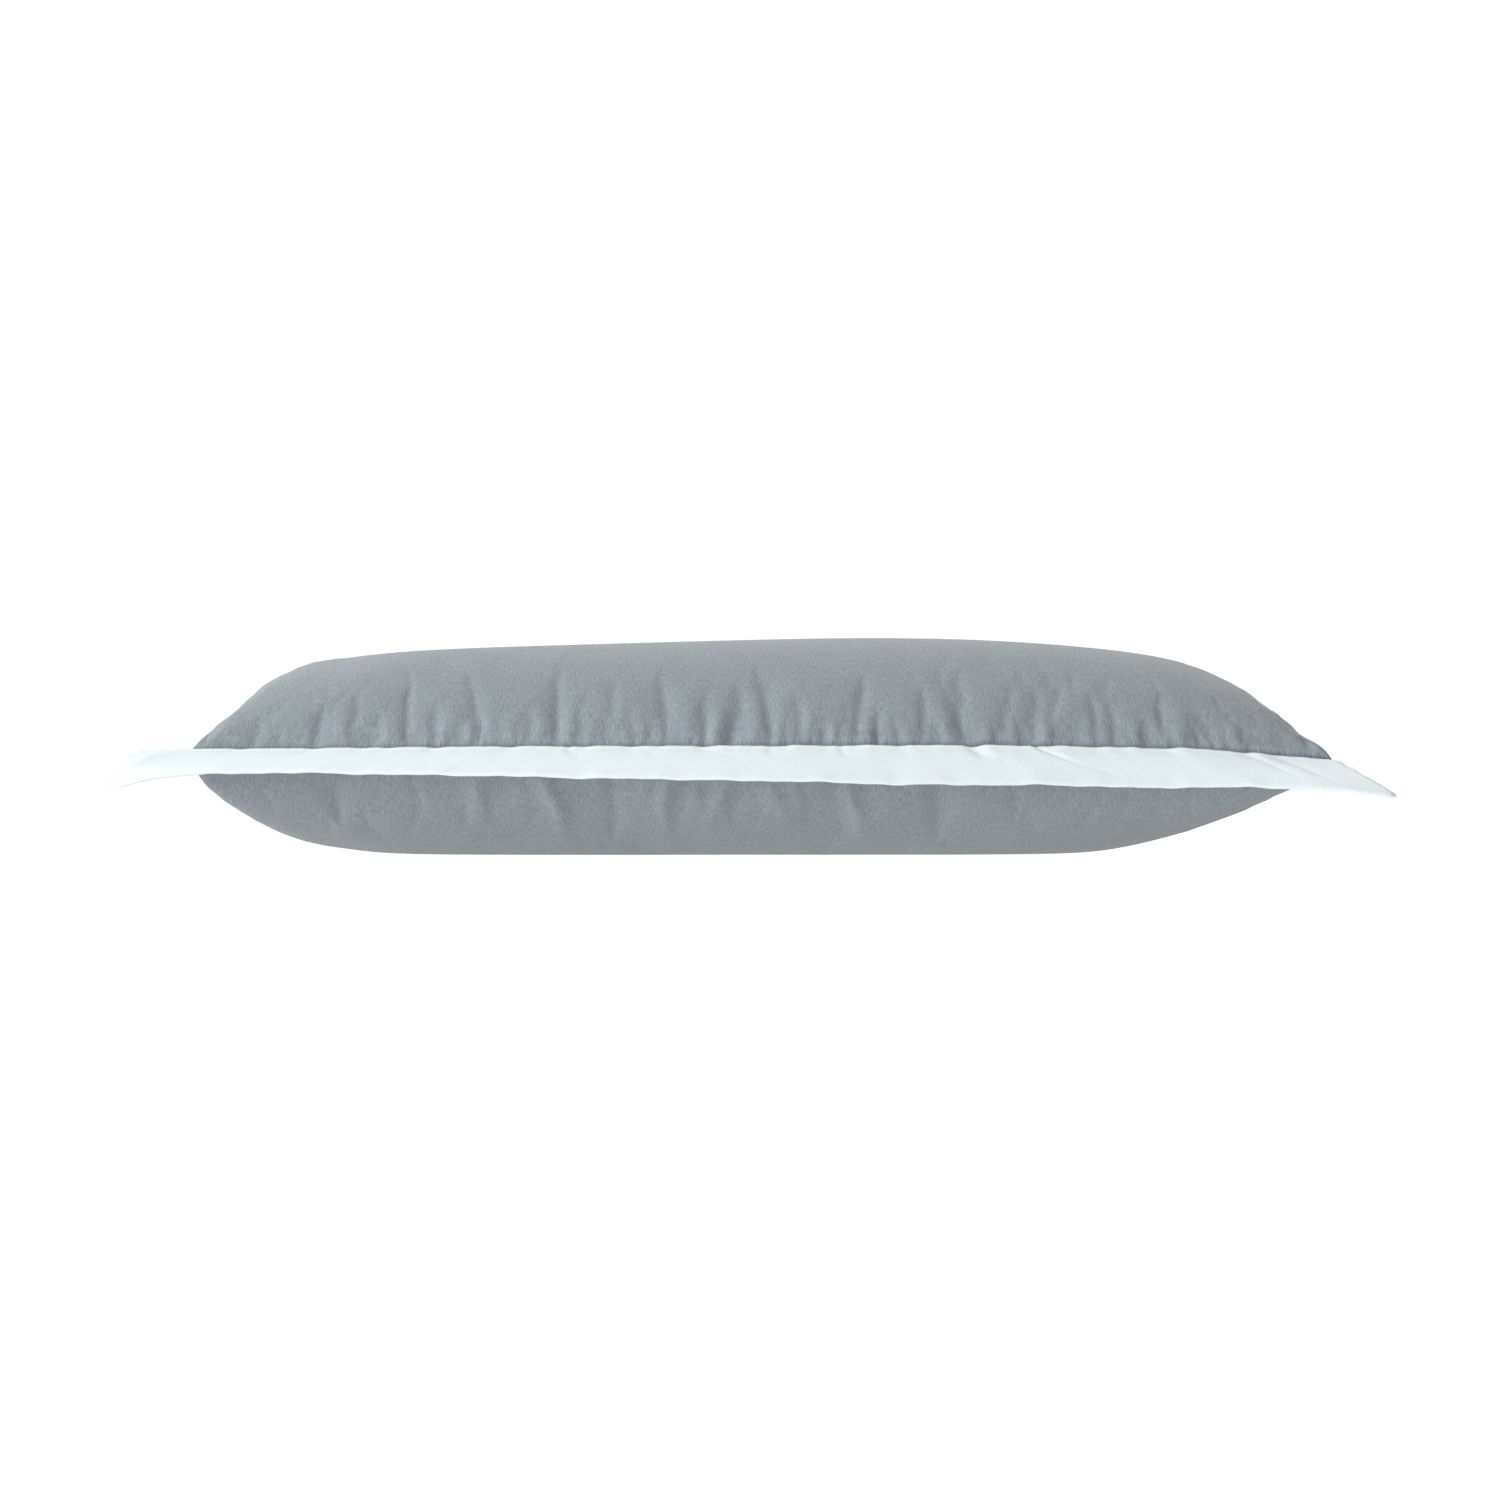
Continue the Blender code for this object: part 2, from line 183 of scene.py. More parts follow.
# Shares of the width, depth and reach in each table that its panel takes, one after the other
Share = namedtuple("Share", "width depth reach")
UPPER_SHARES = (
    Share(0.8, 0.75, 1.0),
    Share(0.85, 0.85, 0.85),
)
LOWER_SHARES = (
    Share(1.0, 1.5, 1.1),
    Share(1.0, 1.4, 1.0),
    Share(1.0, 1.2, 1.0),
)
GATHER_SPAN = 4          # in widths, how far aside a gather still shows
GATHER_ONSET = 6         # how quickly a gather grows with the filling next to the seam

# The back seam has the same gathers turned round, a little weaker
BACK_TURN = -0.017
BACK_SHARE = 0.8

# Waves in the front strip, slanted from the seam to the free edge
Wave = namedtuple("Wave", "x width height lean")
FRONT_WAVES = (
    Wave(-0.188, 0.016, 0.0007, 0.15),
    Wave(-0.080, 0.014, -0.0006, 0.25),
    Wave(0.008, 0.012, 0.0007, 0.20),
    Wave(0.050, 0.010, -0.0007, 0.15),
    Wave(0.100, 0.010, 0.0010, 0.50),
    Wave(0.135, 0.010, -0.0008, 0.60),
    Wave(0.182, 0.010, 0.0008, 0.50),
    Wave(0.220, 0.010, 0.0008, 0.40),
)
WAVE_SHARE = 0.5         # share of those heights that the strip takes
PLAIN_WAVE = 0.0006
PLAIN_WAVE_PITCH = 0.085
WAVE_CALM = 12

# Creases pressed into the front strip: from a place along it and a share of its width to another,
# with the half width of the crease and its depth
Crease = namedtuple("Crease", "x t x_end t_end width depth")
FRONT_CREASES = (
    Crease(-0.2080, 0.05, -0.1960, 0.40, 0.0030, 0.0002),
    Crease(-0.1500, 0.05, -0.1380, 0.30, 0.0030, 0.0002),
    Crease(-0.0876, 0.00, -0.0845, 0.22, 0.0018, 0.0008),
    Crease(-0.0850, 0.20, -0.0760, 0.50, 0.0020, 0.0003),
    Crease(-0.0530, 0.12, -0.0455, 0.38, 0.0022, 0.0004),
    Crease(-0.0270, 0.08, -0.0060, 0.55, 0.0020, 0.0004),
    Crease(0.0030, 0.00, 0.0040, 0.38, 0.0020, 0.0005),
    Crease(0.0110, 0.00, 0.0122, 0.25, 0.0018, 0.0003),
    Crease(0.0350, 0.00, 0.0374, 0.42, 0.0022, 0.0007),
    Crease(0.0500, 0.42, 0.0620, 0.58, 0.0016, 0.0003),
    Crease(0.0685, 0.03, 0.0735, 0.22, 0.0014, 0.0004),
    Crease(0.0946, 0.00, 0.0990, 0.45, 0.0036, 0.0010),
    Crease(0.1035, 0.40, 0.1065, 0.58, 0.0020, 0.0004),
    Crease(0.1225, 0.00, 0.1360, 0.52, 0.0016, 0.0011),
    Crease(0.1350, 0.48, 0.1520, 0.85, 0.0020, 0.0006),
    Crease(0.1700, 0.04, 0.1865, 0.14, 0.0030, 0.0006),
    Crease(0.2180, 0.08, 0.2262, 0.80, 0.0026, 0.0007),
    Crease(0.2312, 0.10, 0.2415, 0.90, 0.0030, 0.0008),
)
CREASE_SHARE = 0.62      # share of those depths that the strip takes
# Shares of its own length over which a crease grows and dies away, and how far along each it starts
CREASE_START = (0.30, 0.6)
CREASE_STOP = (0.45, 0.2)

# Little ripples that the seam draws in every strip, as sums of waves: length and height
Ripple = namedtuple("Ripple", "length height turn")
SEAM_RIPPLES = (
    Ripple(0.0110, 0.00010, 0.3),
    Ripple(0.0173, 0.00013, 1.9),
    Ripple(0.0295, 0.00016, 4.1),
)
EDGE_RIPPLES = (
    Ripple(0.0127, 0.00010, 2.2),
    Ripple(0.0221, 0.00014, 0.7),
    Ripple(0.0410, 0.00016, 3.6),
)
SEAM_RIPPLE_REACH = 0.011
EDGE_RIPPLE_POWER = 5
RIPPLE_SHIFT = 0.37      # each strip has its ripples this much further along

# Roll of the cloth where it turns into the seam, and the round of the fold at the free edge
SEAM_ROLL = 0.0010
SEAM_ROLL_WIDTH = 0.0018
FOLD_ROUND = 0.045
FOLD_LEAST = 0.08
MITRE_ROUND = 0.0016
MITRE_LEAST = 0.35
TIP_BLUNT = 0.05
TIP_GRIP = 60

# Fine folds that the seam draws in the panels, between the listed ones
Pleat = namedtuple("Pleat", "length height turn reach")
PLEATS = (
    Pleat(0.0062, 0.00016, 0.4, 0.014),
    Pleat(0.0089, 0.00026, 2.6, 0.020),
    Pleat(0.0137, 0.00034, 5.1, 0.030),
    Pleat(0.0217, 0.00036, 1.2, 0.044),
)
PLEAT_DRIFT = 0.004      # how far the folds stray along the seam
PLEAT_SWAY = 0.35        # and by what share of their length they sway on their way in
PLEAT_RISE = 0.002       # distance from the seam within which they grow
PLEAT_CALM = 0.035       # and from a corner
# Shifts along the folds, so that the back, the lower panel and the right end have folds of their own
BACK_FOLDS = 0.171
BELOW_FOLDS = 0.313
RIGHT_FOLDS = 0.077
# The left end is pulled tighter: up to where, over what length, and the share of the folds left there
LEFT_CALM = -0.225
LEFT_BLEND = 0.085
LEFT_SHARE = 0.30
# Groove where each panel dips into the seam
GROOVE = 0.0014
GROOVE_WIDTH = 0.0020

# Fineness of the meshes, before the cushion's one subdivision
PANEL_COLUMNS = 250
PANEL_ROWS = 48
LONG_COLUMNS = 620
SHORT_COLUMNS = 340
STRIP_ROWS = 30
# How far rows and columns crowd towards the edges, from 0 to 1
CROWD_COLUMNS = 0.2
CROWD_ROWS = 0.7
CROWD_STRIP = 0.15
CROWD_STRIP_ROWS = 0.85

# Cloth simulation of the panels: stiffness and damping are Blender's own units
Cloth = namedtuple("Cloth", "frames quality mass stretch shear bend stretch_damp bend_damp air pressure cap")
CLOTH = Cloth(24, 6, 0.02, 100, 20, 0.005, 5, 0.1, 1, 30.0, 0.006)
# Spare cloth along the seam and in the middle, as shares of its length, how far the first reaches in,
# and how far from a corner it is missing
Slack = namedtuple("Slack", "seam middle reach corner")
SLACK = Slack(0.020, 0.004, 0.055, 0.060)

# Reach, in grid steps, of the averages that count as broad
BROAD_COLUMNS = 9
BROAD_ROWS = 4

# Softness of the edge round the flat on which the cushion rests
REST_SOFT = 0.0012

# Camera, level with the seam and in front of the long side
CAMERA_DISTANCE = 2.5
CAMERA_X = -0.0054
CAMERA_Z = 0.0494
FRAME_WIDTH = 0.7152     # what the picture spans at the cushion's middle
SENSOR = 36.0


def mix(a, b, share):
    """The value a share of the way from a to b."""
    return a + (b - a) * share


def along(stations, x, field):
    """Read one column of a side's table at x, on a smooth curve through its rows."""
    last = len(stations) - 1
    x = min(max(x, stations[0].x), stations[last].x)
    row = max(i for i in range(last) if stations[i].x <= x)
    values = [getattr(stations[min(max(row + k, 0), last)], field) for k in (-1, 0, 1, 2)]
    places = [stations[min(max(row + k, 0), last)].x for k in (-1, 0, 1, 2)]
    step = places[2] - places[1]
    share = (x - places[1]) / step
    slope_in = (values[2] - values[0]) / (places[2] - places[0]) * step
    slope_out = (values[3] - values[1]) / (places[3] - places[1]) * step
    rise = values[2] - values[1]
    bend_in = slope_in - rise
    bend_out = rise - slope_out
    return mix(values[1], values[2], share) + share * (1 - share) * mix(bend_in, bend_out, share)


def plan(u, v):
    """Place in plan of the share u of the half length and the share v of the half depth."""
    half_x = BODY_LENGTH / 2 - DRAW_SHORT * (1 - abs(v) ** DRAW_SHORT_POWER)
    half_y = BODY_DEPTH / 2 - DRAW_LONG * (1 - abs(u) ** DRAW_LONG_POWER)
    return u * half_x, v * half_y


def seam_level(u, v):
    """Height of the seam round the outline, and of a smooth sheet that spans it inside."""
    x = u * BODY_LENGTH / 2
    y = v * BODY_DEPTH / 2
    across = (v + 1) / 2
    lengthwise = (u + 1) / 2
    from_long = mix(along(FRONT_SIDE, x, "seam"), along(BACK_SIDE, x, "seam"), across)
    from_short = mix(along(LEFT_SIDE, y, "seam"), along(RIGHT_SIDE, y, "seam"), lengthwise)
    front_corners = mix(FRONT_SIDE[0].seam, FRONT_SIDE[-1].seam, lengthwise)
    back_corners = mix(BACK_SIDE[0].seam, BACK_SIDE[-1].seam, lengthwise)
    return from_long + from_short - mix(front_corners, back_corners, across)


def fullness(u, v, profile):
    """Share of the full crown at a place: 0 on the seam, 1 in the middle."""
    end_round = mix(profile.round_left, profile.round_right, (u + 1) / 2)
    blend = mix(profile.blend_left, profile.blend_right, (u + 1) / 2)
    lengthwise = (1 - abs(u) ** profile.end_power) ** end_round
    crosswise = (1 - abs(v) ** SIDE_POWER) ** SIDE_ROUND
    if min(lengthwise, crosswise) <= 0:
        return 0.0
    total = lengthwise ** -blend + crosswise ** -blend - 1
    return total ** (-1 / blend)


def swell(x, y):
    """Extra height of the filling at a place in plan."""
    return sum(s.height * math.exp(-((x - s.x) ** 2 + (y - s.y) ** 2) / s.reach ** 2) for s in SWELLS)


def fade(distance, reach):
    """Strength of a gather at a distance from its seam: full at the seam, none past its reach."""
    if distance >= reach:
        return 0.0
    return math.cos(math.pi / 2 * distance / reach) ** 2


def scaled(gathers, shares):
    """A table of gathers scaled by each share in turn.

    Widths and depths are rounded to a tenth of a millimetre each time, and reaches to a whole one.
    """
    for share in shares:
        gathers = [
            g._replace(
                width=round(g.width * share.width, 4),
                depth=round(g.depth * share.depth, 4),
                reach=round(g.reach * share.reach, 3),
            )
            for g in gathers
        ]
    return gathers


def gather_depth(x, distance, gathers):
    """How far the listed gathers push a panel out at a place along a seam and a distance from it."""
    depth = 0.0
    for g in gathers:
        offset = (x - g.x - g.lean * distance) / g.width
        if abs(offset) < GATHER_SPAN:
            depth += g.depth * math.exp(-offset ** 2) * fade(distance, g.reach)
    return depth


def panel_point(u, v, profile, gathers):
    """A point of a panel with its gathers, before the simulation."""
    full = fullness(u, v, profile)
    x, y = plan(u, v)
    z = seam_level(u, v) + profile.side * (FLANGE_THICK / 2 + profile.crown * full)
    if profile is UPPER:
        z += swell(x, y) * full
    front = math.hypot((1 + v) * BODY_DEPTH / 2, profile.crown * full)
    back = math.hypot((1 - v) * BODY_DEPTH / 2, profile.crown * full)
    push = gather_depth(x, front, gathers) + BACK_SHARE * gather_depth(BACK_TURN - x, back, gathers)
    push *= min(1.0, GATHER_ONSET * full)
    lean = v * (1 - full)
    return Vector((x, y + push * lean, z + profile.side * push * (1 - abs(lean) / 2)))


def spread(count, crowding):
    """Shares from -1 to 1 in count steps. With crowding 1 they crowd towards both ends."""
    even = [2 * i / count - 1 for i in range(count + 1)]
    return [mix(share, math.sin(math.pi / 2 * share), crowding) for share in even]


def add_grid(mesh, points, flats, uv):
    """Add a grid of points with its flat places as UV, and return its vertices."""
    verts = [[mesh.verts.new(p) for p in line] for line in points]
    place = {v: f for line, places in zip(verts, flats) for v, f in zip(line, places)}
    for a, b in zip(verts, verts[1:]):
        for j in range(len(a) - 1):
            face = mesh.faces.new((a[j], b[j], b[j + 1], a[j + 1]))
            for loop in face.loops:
                loop[uv].uv = place[loop.vert]
    return verts


def grid_border(verts):
    """The vertices round a grid, in order."""
    first = [line[0] for line in verts]
    last = [line[-1] for line in verts]
    return first + verts[-1][1:] + last[-2::-1] + verts[0][-2:0:-1]


def close_between(mesh, upper, lower):
    """Join the borders of two grids by a wall of quads."""
    top = grid_border(upper)
    bottom = grid_border(lower)
    for i, corner in enumerate(top):
        j = (i + 1) % len(top)
        mesh.faces.new((corner, bottom[i], bottom[j], top[j]))


def add_object(name, mesh, material):
    """Turn a closed bmesh into a named object with one material."""
    bmesh.ops.recalc_face_normals(mesh, faces=mesh.faces)
    data = bpy.data.meshes.new(name)
    mesh.to_mesh(data)
    mesh.free()
    data.materials.append(material)
    data.shade_smooth()
    obj = bpy.data.objects.new(name, data)
    bpy.context.collection.objects.link(obj)
    return obj


def build_panels(material):
    """The two panels as one closed form, with the flat cut kept as the places of its UV map."""
    mesh = bmesh.new()
    uv = mesh.loops.layers.uv.new("cloth")
    columns = spread(PANEL_COLUMNS, CROWD_COLUMNS)
    rows = spread(PANEL_ROWS, CROWD_ROWS)
    above_gathers = scaled(UPPER_GATHERS, UPPER_SHARES)
    below_gathers = scaled(LOWER_GATHERS, LOWER_SHARES)
    cut = [[(u * CUT_LENGTH / 2, v * CUT_DEPTH / 2) for v in rows] for u in columns]
    below = [[(x + BELOW_SHIFT[0], y + BELOW_SHIFT[1]) for x, y in line] for line in cut]
    upper_points = [[panel_point(u, v, UPPER, above_gathers) for v in rows] for u in columns]
    lower_points = [[panel_point(u, v, LOWER, below_gathers) for v in rows] for u in columns]
    upper = add_grid(mesh, upper_points, cut, uv)
    lower = add_grid(mesh, lower_points, below, uv)
    mesh.verts.index_update()
    border = [v.index for v in grid_border(upper) + grid_border(lower)]
    close_between(mesh, upper, lower)
    flat = [Vector((x, y, FLANGE_THICK / 2)) for line in cut for x, y in line]
    flat += [Vector((x, y, -FLANGE_THICK / 2)) for line in cut for x, y in line]
    return add_object("cushion_cover", mesh, material), border, flat


def coordinates(data):
    """The places of a mesh's vertices as an array."""
    flat = np.empty(len(data.vertices) * 3)
    data.vertices.foreach_get("co", flat)
    return flat.reshape(-1, 3)


def swell_panels(obj, border, flat):
    """Let the panels move as cloth with a little slack and pressure inside, their seam held.

    Only the local part of the movement is kept, up to the cap, so that the form stays as it was placed.
    """
    start = coordinates(obj.data)
    pins = obj.vertex_groups.new(name="seam")
    pins.add(border, 1.0, "REPLACE")
    tight = obj.vertex_groups.new(name="tight")
    for i, place in enumerate(flat):
        to_short = max(0.0, CUT_LENGTH / 2 - abs(place.x))
        to_long = max(0.0, CUT_DEPTH / 2 - abs(place.y))
        inside = min(1.0, min(to_short, to_long) / SLACK.reach) ** 1.5
        corner = 1 - smooth_step(math.hypot(to_short, to_long) / SLACK.corner)
        tight.add([i], max(inside, corner), "REPLACE")
    cloth = obj.modifiers.new("cloth", "CLOTH")
    settings = cloth.settings
    settings.vertex_group_shrink = tight.name
    settings.shrink_min = -SLACK.seam
    settings.shrink_max = -SLACK.middle
    settings.vertex_group_mass = pins.name
    settings.quality = CLOTH.quality
    settings.mass = CLOTH.mass
    settings.tension_stiffness = CLOTH.stretch
    settings.compression_stiffness = CLOTH.stretch
    settings.shear_stiffness = CLOTH.shear
    settings.bending_stiffness = CLOTH.bend
    settings.tension_damping = CLOTH.stretch_damp
    settings.compression_damping = CLOTH.stretch_damp
    settings.shear_damping = CLOTH.stretch_damp
    settings.bending_damping = CLOTH.bend_damp
    settings.air_damping = CLOTH.air
    settings.use_pressure = True
    settings.uniform_pressure_force = CLOTH.pressure
    settings.effector_weights.gravity = 0
    cloth.collision_settings.use_collision = False
    cloth.point_cache.frame_start = 1
    cloth.point_cache.frame_end = CLOTH.frames
    scene = bpy.context.scene
    for step in range(1, CLOTH.frames + 1):
        scene.frame_set(step)
    view = bpy.context.evaluated_depsgraph_get()
    swollen = coordinates(obj.evaluated_get(view).data)
    obj.modifiers.remove(cloth)
    scene.frame_set(1)
    move = local_part(swollen - start)
    length = np.linalg.norm(move, axis=1, keepdims=True)
    move *= np.tanh(length / CLOTH.cap) * CLOTH.cap / np.maximum(length, 1e-9)
    set_coordinates(obj.data, start + move)


def averaged(field, radius, axis):
    """A grid of values averaged along one axis, as odd beyond its held ends."""
    reach = 3 * radius
    kernel = np.exp(-0.5 * (np.arange(-reach, reach + 1) / radius) ** 2)
    kernel /= kernel.sum()
    before = -np.flip(np.take(field, range(1, reach + 1), axis), axis)
    after = -np.flip(np.take(field, range(-reach - 1, -1), axis), axis)
    padded = np.concatenate((before, field, after), axis)
    return np.apply_along_axis(lambda line: np.convolve(line, kernel, "valid"), axis, padded)


def local_part(move):
    """A movement of both panels without its broad part, so that the outline stays as it was."""
    grids = move.reshape(2, PANEL_COLUMNS + 1, PANEL_ROWS + 1, 3)
    broad = averaged(averaged(grids, BROAD_COLUMNS, 1), BROAD_ROWS, 2)
    return (grids - broad).reshape(-1, 3)


def set_coordinates(data, places):
    """Move a mesh's vertices to an array of places."""
    data.vertices.foreach_set("co", np.asarray(places, np.float32).ravel())
    data.update()


def rest_on_floor(obj):
    """Flatten what would sink into the floor, with a soft edge round the flat."""
    places = coordinates(obj.data)
    z = places[:, 2]
    flattened = REST_SOFT * np.log1p(np.exp(np.clip(z / REST_SOFT, -30, 30)))
    places[:, 2] = np.where(z > 4 * REST_SOFT, z, flattened)
    set_coordinates(obj.data, places)


def subdivide(obj):
    """Apply one subdivision."""
    modifier = obj.modifiers.new("fine", "SUBSURF")
    modifier.levels = 1
    modifier.render_levels = 1
    view = bpy.context.evaluated_depsgraph_get()
    fine = bpy.data.meshes.new_from_object(obj.evaluated_get(view))
    obj.modifiers.remove(modifier)
    obj.data = fine


def flat_places(data):
    """The place of each vertex in the flat cut, from the UV map."""
    loops = np.empty(len(data.loops), np.int32)
    data.loops.foreach_get("vertex_index", loops)
    uvs = np.empty(len(data.loops) * 2, np.float32)
    data.uv_layers["cloth"].data.foreach_get("uv", uvs)
    places = np.zeros((len(data.vertices), 2))
    places[loops] = uvs.reshape(-1, 2)
    return places


def add_fine_folds(obj):
    """Press the fine folds into the swollen cover, square to its surface."""
    data = obj.data
    normals = np.empty(len(data.vertices) * 3, np.float32)
    data.vertices.foreach_get("normal", normals)
    heights = []
    for x, y in flat_places(data).tolist():
        below = x > BELOW_SHIFT[0] / 2
        heights.append(fine_fold(x - BELOW_SHIFT[0] * below, y - BELOW_SHIFT[1] * below, below))
    push = np.array(heights)[:, None] * normals.reshape(-1, 3)
    set_coordinates(data, coordinates(data) + push)


def fine_fold(x, y, below):
    """Height of the fine folds at a place of the flat cut."""
    to_long = CUT_DEPTH / 2 - abs(y)
    to_short = CUT_LENGTH / 2 - abs(x)
    shift = BACK_FOLDS * (y > 0) + BELOW_FOLDS * below
    slack = mix(LEFT_SHARE, 1.0, smooth_step((x - LEFT_CALM) / LEFT_BLEND))
    calm = smooth_step(to_short / PLEAT_CALM)
    height = pleats(x + shift, to_long) * calm
    calm = smooth_step(to_long / PLEAT_CALM)
    height += pleats(y + shift + RIGHT_FOLDS * (x > 0), to_short) * calm
    return height * slack - GROOVE * math.exp(-(min(to_long, to_short) / GROOVE_WIDTH) ** 2)


def pleats(x, distance):
    """Sum of the fine folds at a place along a seam and a distance from it."""
    drift = PLEAT_DRIFT * noise.noise(Vector((x * 9, 3.1, 0)))
    strength = 0.5 + 0.9 * noise.noise(Vector((x * 22, 7.7, 0)))
    height = 0.0
    for p in PLEATS:
        if distance < p.reach:
            sway = p.length * PLEAT_SWAY * noise.noise(Vector((x * 30, distance * 25, p.turn)))
            wave = math.sin(math.tau * (x + drift + sway) / p.length + p.turn)
            height += p.height * wave * fade(distance, p.reach) * smooth_step(distance / PLEAT_RISE)
    return height * max(0.1, strength)


def front_wave(s, t):
    """Rise of the waves in the front strip."""
    x = s * BODY_LENGTH / 2
    rise = 0.0
    for w in FRONT_WAVES:
        offset = (x - w.x - w.lean * t * FLANGE_WIDTH) / w.width
        rise += w.height * math.exp(-offset ** 2)
    return WAVE_SHARE * rise * t * (1 - s ** WAVE_CALM)


def plain_wave(s, t, half_length):
    """Rise of the even waves in the other strips."""
    turn = math.sin(math.tau * s * half_length / PLAIN_WAVE_PITCH)
    return PLAIN_WAVE * turn * t * (1 - s ** WAVE_CALM)


def crease_depth(x, t):
    """Depth of the pressed creases at a place of the front strip."""
    depth = 0.0
    for c in FRONT_CREASES:
        across = (c.t_end - c.t) * FLANGE_WIDTH
        length = math.hypot(c.x_end - c.x, across)
        dx = x - c.x
        dy = (t - c.t) * FLANGE_WIDTH
        run = (dx * (c.x_end - c.x) + dy * across) / length
        if abs(run - length / 2) > length:
            continue
        aside = (dx * across - dy * (c.x_end - c.x)) / length
        start = smooth_step(run / (CREASE_START[0] * length) + CREASE_START[1])
        stop = smooth_step((length - run) / (CREASE_STOP[0] * length) + CREASE_STOP[1])
        depth += c.depth * math.exp(-(aside / c.width) ** 2) * start * stop
    return CREASE_SHARE * depth


def smooth_step(x):
    """Rise from 0 to 1 as x goes from 0 to 1."""
    x = min(1.0, max(0.0, x))
    return x * x * (3 - 2 * x)


def ripple(x, ripples):
    """A sum of waves along x."""
    return sum(r.height * math.sin(math.tau * x / r.length + r.turn) for r in ripples)


def strip_relief(x, t, shift):
    """Rise of the little ripples at the seam and at the free edge of a strip."""
    near_seam = math.exp(-(t * FLANGE_WIDTH / SEAM_RIPPLE_REACH) ** 2)
    near_edge = t ** EDGE_RIPPLE_POWER
    return ripple(x + shift, SEAM_RIPPLES) * near_seam + ripple(x + shift, EDGE_RIPPLES) * near_edge


def strip_line(stations, ends, grip, s, t):
    """Reach along, reach out and height of a strip at share s of its half length and t of its width."""
    end = ends[0] if s < 0 else ends[1]
    t *= 1 - TIP_BLUNT * abs(s) ** TIP_GRIP * t
    place = s * stations[-1].x
    hold = abs(s) ** grip
    drop = along(stations, place, "drop")
    reach = math.sqrt(FLANGE_WIDTH ** 2 - drop ** 2)
    reach_out = mix(reach, end.reach_out, abs(s) ** REACH_GRIP) * t + GAP
    curl = mix(STRIP_CURL, end.curl, hold)
    height = along(stations, place, "seam") - mix(drop, end.drop, hold) * t ** curl
    return s * end.reach_along * t, reach_out, height


def long_end(corner):
    """A corner as a long strip sees it."""
    return End(corner.reach_x, corner.reach_y, corner.drop, corner.curl)


def short_end(corner):
    """A corner as a short strip sees it."""
    return End(corner.reach_y, corner.reach_x, corner.drop, corner.curl)


def long_strip_point(side, stations, ends, s, t):
    """Middle of the front strip (side -1) or the back strip (side 1)."""
    x, y = plan(s, side)
    reach_along, reach_out, height = strip_line(stations, ends, CORNER_GRIP_LONG, s, t)
    wave = front_wave(s, t) if side < 0 else plain_wave(s, t, BODY_LENGTH / 2)
    return Vector((x + reach_along, y + side * reach_out, height + wave))


def short_strip_point(side, stations, ends, s, t):
    """Middle of the left strip (side -1) or the right strip (side 1)."""
    x, y = plan(side, s)
    reach_along, reach_out, height = strip_line(stations, ends, CORNER_GRIP_SHORT, s, t)
    return Vector((x + side * reach_out, y + reach_along, height + plain_wave(s, t, BODY_DEPTH / 2)))


def half_thickness(s, t, half_length):
    """Half the thickness of a strip: full inside, thin at its mitres, round at its free edge."""
    fold = max(0.0, (t - 1 + FOLD_ROUND) / FOLD_ROUND)
    to_mitre = (1 - abs(s)) * half_length
    mitre = mix(MITRE_LEAST, 1.0, math.sqrt(min(1.0, to_mitre / MITRE_ROUND)))
    return FLANGE_THICK / 2 * max(FOLD_LEAST, math.sqrt(1 - fold ** 2)) * mitre


def seam_roll(t):
    """Rise of the rolled cloth next to the seam."""
    return SEAM_ROLL * math.exp(-((t * FLANGE_WIDTH - SEAM_ROLL_WIDTH) / SEAM_ROLL_WIDTH) ** 2)


def strip_shares():
    """Shares of a strip's width at which its mesh has rows, close together at both edges."""
    even = [i / STRIP_ROWS for i in range(STRIP_ROWS + 1)]
    return [mix(e, (1 - math.cos(math.pi * e)) / 2, CROWD_STRIP_ROWS) for e in even]


def build_strip(name, point, columns, length, half_length, creases, shift, material):
    """A strip of the flange, as a closed sheet."""
    mesh = bmesh.new()
    uv = mesh.loops.layers.uv.new("cloth")
    across = strip_shares()
    shares = spread(columns, CROWD_STRIP)
    upper = []
    lower = []
    flats = []
    for s in shares:
        x = s * half_length
        top = []
        bottom = []
        for t in across:
            middle = point(s, t)
            half = half_thickness(s, t, half_length)
            rise = strip_relief(x, t, shift) * (1 - s ** WAVE_CALM)
            if creases:
                rise -= crease_depth(x, t)
            middle.z += rise
            top.append(middle + Vector((0, 0, half + seam_roll(t))))
            bottom.append(middle - Vector((0, 0, half)))
        upper.append(top)
        lower.append(bottom)
        flats.append([(s * (length / 2 - FLANGE_WIDTH * (1 - t)), t * FLANGE_WIDTH) for t in across])
    upper = add_grid(mesh, upper, flats, uv)
    lower = add_grid(mesh, lower, flats, uv)
    close_between(mesh, upper, lower)
    return add_object(name, mesh, material)


